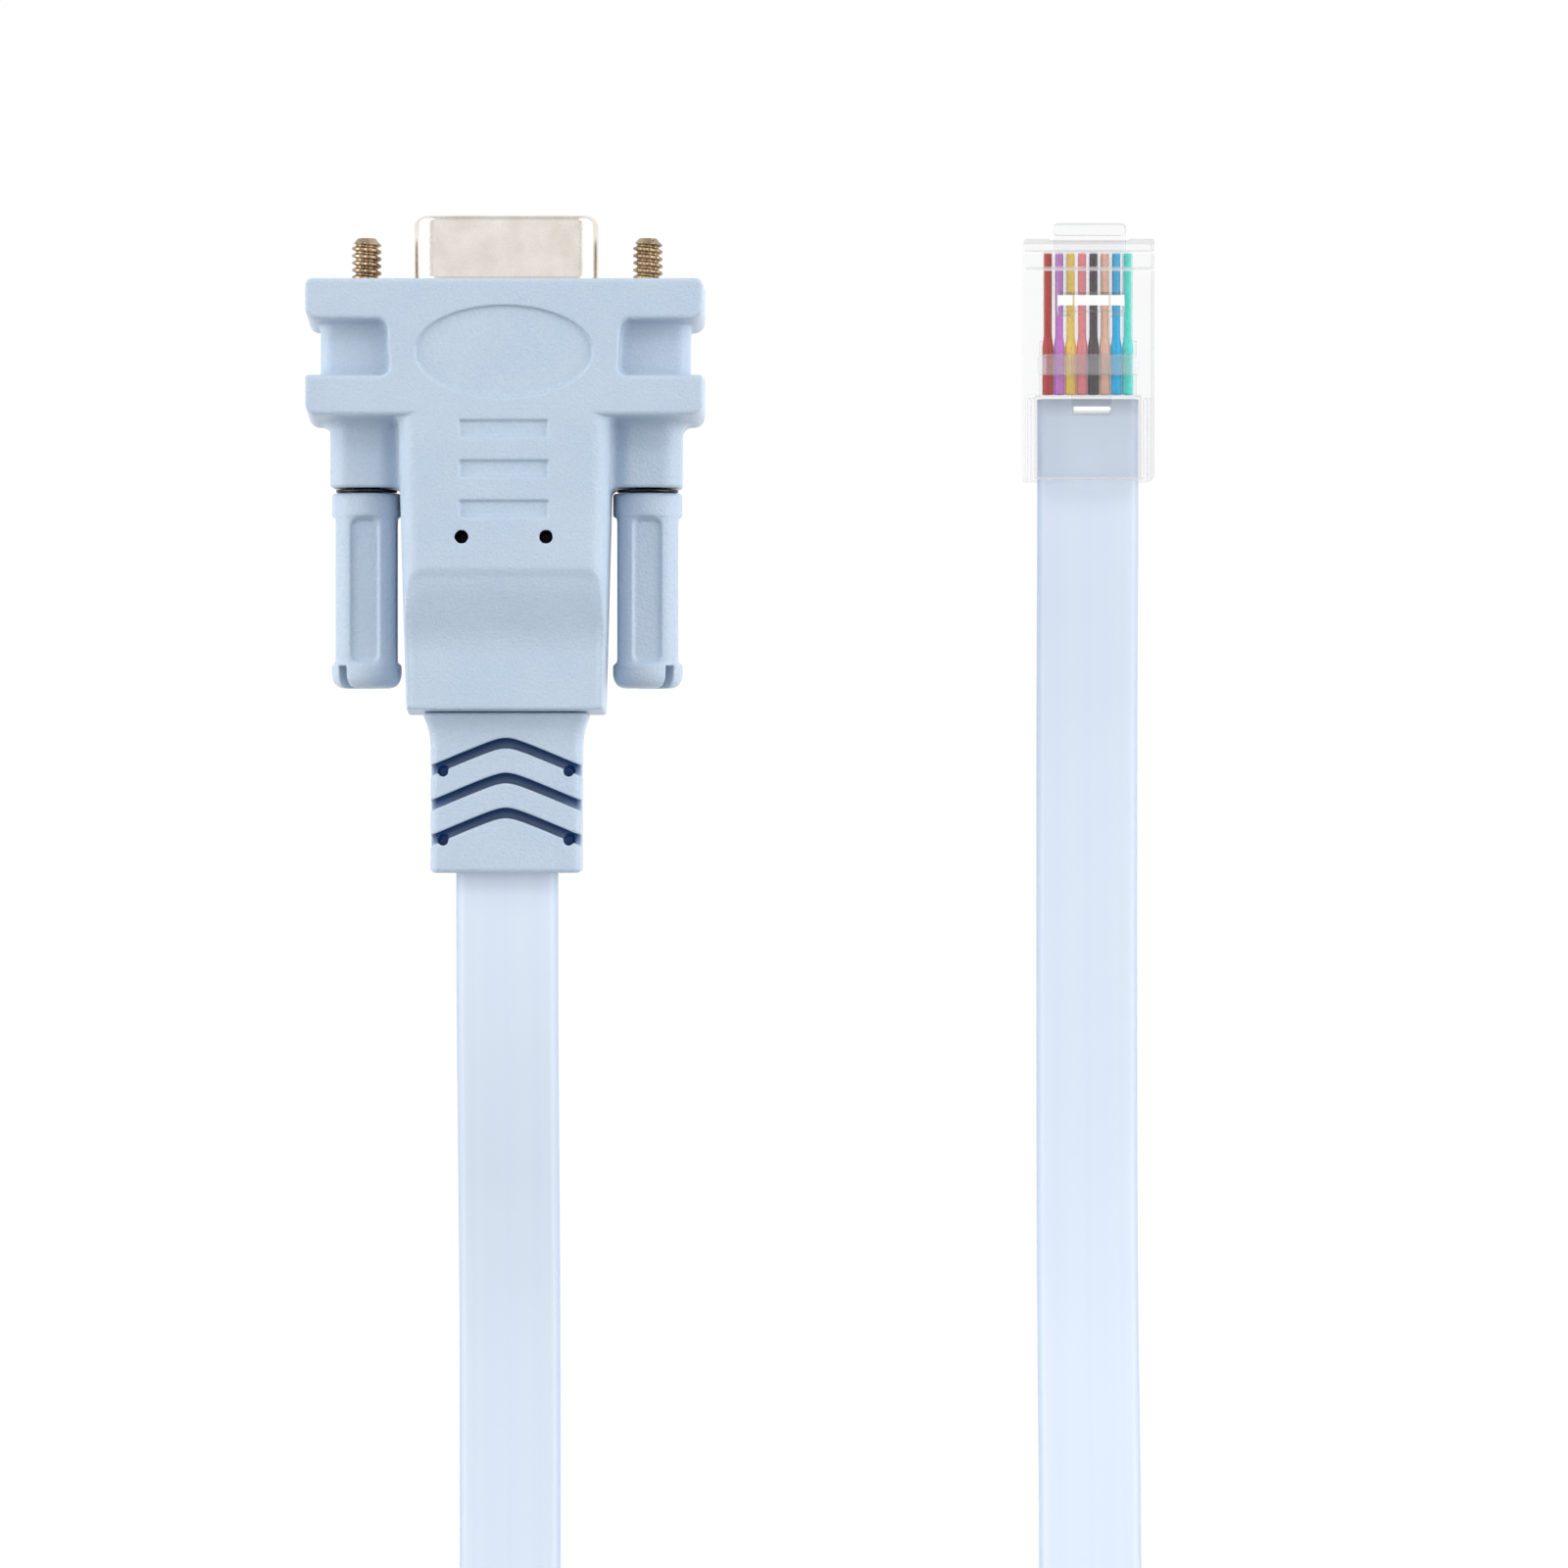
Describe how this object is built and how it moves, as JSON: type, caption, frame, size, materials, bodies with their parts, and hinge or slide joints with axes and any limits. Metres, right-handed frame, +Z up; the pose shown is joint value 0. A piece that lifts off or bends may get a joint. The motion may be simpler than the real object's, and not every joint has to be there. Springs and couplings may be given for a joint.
{
  "type": "rj45 console cable",
  "caption": "Flat console cable with a D-sub socket in a moulded hood with thumbscrews at one end and a clear modular plug at the other, its slack wound in a tied coil.",
  "frame": {"origin": "bottom centre of the box of the D-sub connector with its hood, strain relief and thumbscrews, on the table", "axes": "+Y out of the D-sub mating face and out of the plug's nose, +X from the D-sub to the plug, +Z up, away from the table, the wide side of the D-sub and the plug's latch facing up"},
  "size_m": [0.124, 0.2418, 0.0155],
  "materials": {
    "hood_pvc": "light blue moulded PVC with a fine pebbled grain",
    "cable_jacket": "light blue smooth flat PVC jacket, slightly darker along its edges",
    "nickel_shell": "nickel-plated steel, warm grey with a fine sparkle",
    "screw_metal": "dull nickel-plated threads with brown recesses",
    "washer_metal": "bright stamped steel",
    "insulator_plastic": "black thermoplastic",
    "contact_gold": "thin gold plating",
    "clear_plastic": "clear polycarbonate, water-white, glossy",
    "tie_plastic": "black flat tie",
    "wire_brown_red": "brown red wire insulation",
    "wire_purple": "purple wire insulation",
    "wire_yellow": "yellow wire insulation",
    "wire_pink_red": "pink red wire insulation",
    "wire_black": "black wire insulation",
    "wire_peach": "peach wire insulation",
    "wire_blue": "blue wire insulation",
    "wire_teal": "teal wire insulation"
  },
  "bodies": {
    "connector": {"hood": "hood_pvc", "strain_relief": "hood_pvc", "dsub_shell": "nickel_shell", "insulator": "insulator_plastic", "socket_contact_1": "contact_gold", "socket_contact_2": "contact_gold", "socket_contact_3": "contact_gold", "socket_contact_4": "contact_gold", "socket_contact_5": "contact_gold", "socket_contact_6": "contact_gold", "socket_contact_7": "contact_gold", "socket_contact_8": "contact_gold", "socket_contact_9": "contact_gold", "cable_from_hood": "cable_jacket", "cable_coil": "cable_jacket", "coil_tie": "tie_plastic", "cable_to_plug": "cable_jacket", "plug_housing": "clear_plastic", "plug_contact_1": "contact_gold", "plug_contact_2": "contact_gold", "plug_contact_3": "contact_gold", "plug_contact_4": "contact_gold", "plug_contact_5": "contact_gold", "plug_contact_6": "contact_gold", "plug_contact_7": "contact_gold", "plug_contact_8": "contact_gold", "wire_1": "wire_brown_red", "wire_2": "wire_purple", "wire_3": "wire_yellow", "wire_4": "wire_pink_red", "wire_5": "wire_black", "wire_6": "wire_peach", "wire_7": "wire_blue", "wire_8": "wire_teal"},
    "washer_left": {"washer_left": "washer_metal"},
    "thumbscrew_left": {"jackscrew_left": "screw_metal", "grip_left": "hood_pvc"},
    "washer_right": {"washer_right": "washer_metal"},
    "thumbscrew_right": {"jackscrew_right": "screw_metal", "grip_right": "hood_pvc"},
    "latch": {"plug_latch": "clear_plastic"}
  },
  "joints": [
    {"name": "thumbscrew_left_draw", "type": "slide", "parent": "connector", "child": "washer_left", "axis": [0, -1, 0], "range_m": [0, 0.0035]},
    {"name": "thumbscrew_left_turn", "type": "hinge", "parent": "washer_left", "child": "thumbscrew_left", "pos_m": [-0.01249, 0.00458, 0.00775], "axis": [0, 1, 0], "continuous": true},
    {"name": "thumbscrew_right_draw", "type": "slide", "parent": "connector", "child": "washer_right", "axis": [0, -1, 0], "range_m": [0, 0.0035]},
    {"name": "thumbscrew_right_turn", "type": "hinge", "parent": "washer_right", "child": "thumbscrew_right", "pos_m": [0.01249, 0.00458, 0.00775], "axis": [0, 1, 0], "continuous": true},
    {"name": "latch_press", "type": "hinge", "parent": "connector", "child": "latch", "pos_m": [0.0518, 0.0268, 0.0069], "axis": [1, 0, 0], "range_deg": [0, 10], "stiffness_Nm_per_rad": 0.05}
  ]
}
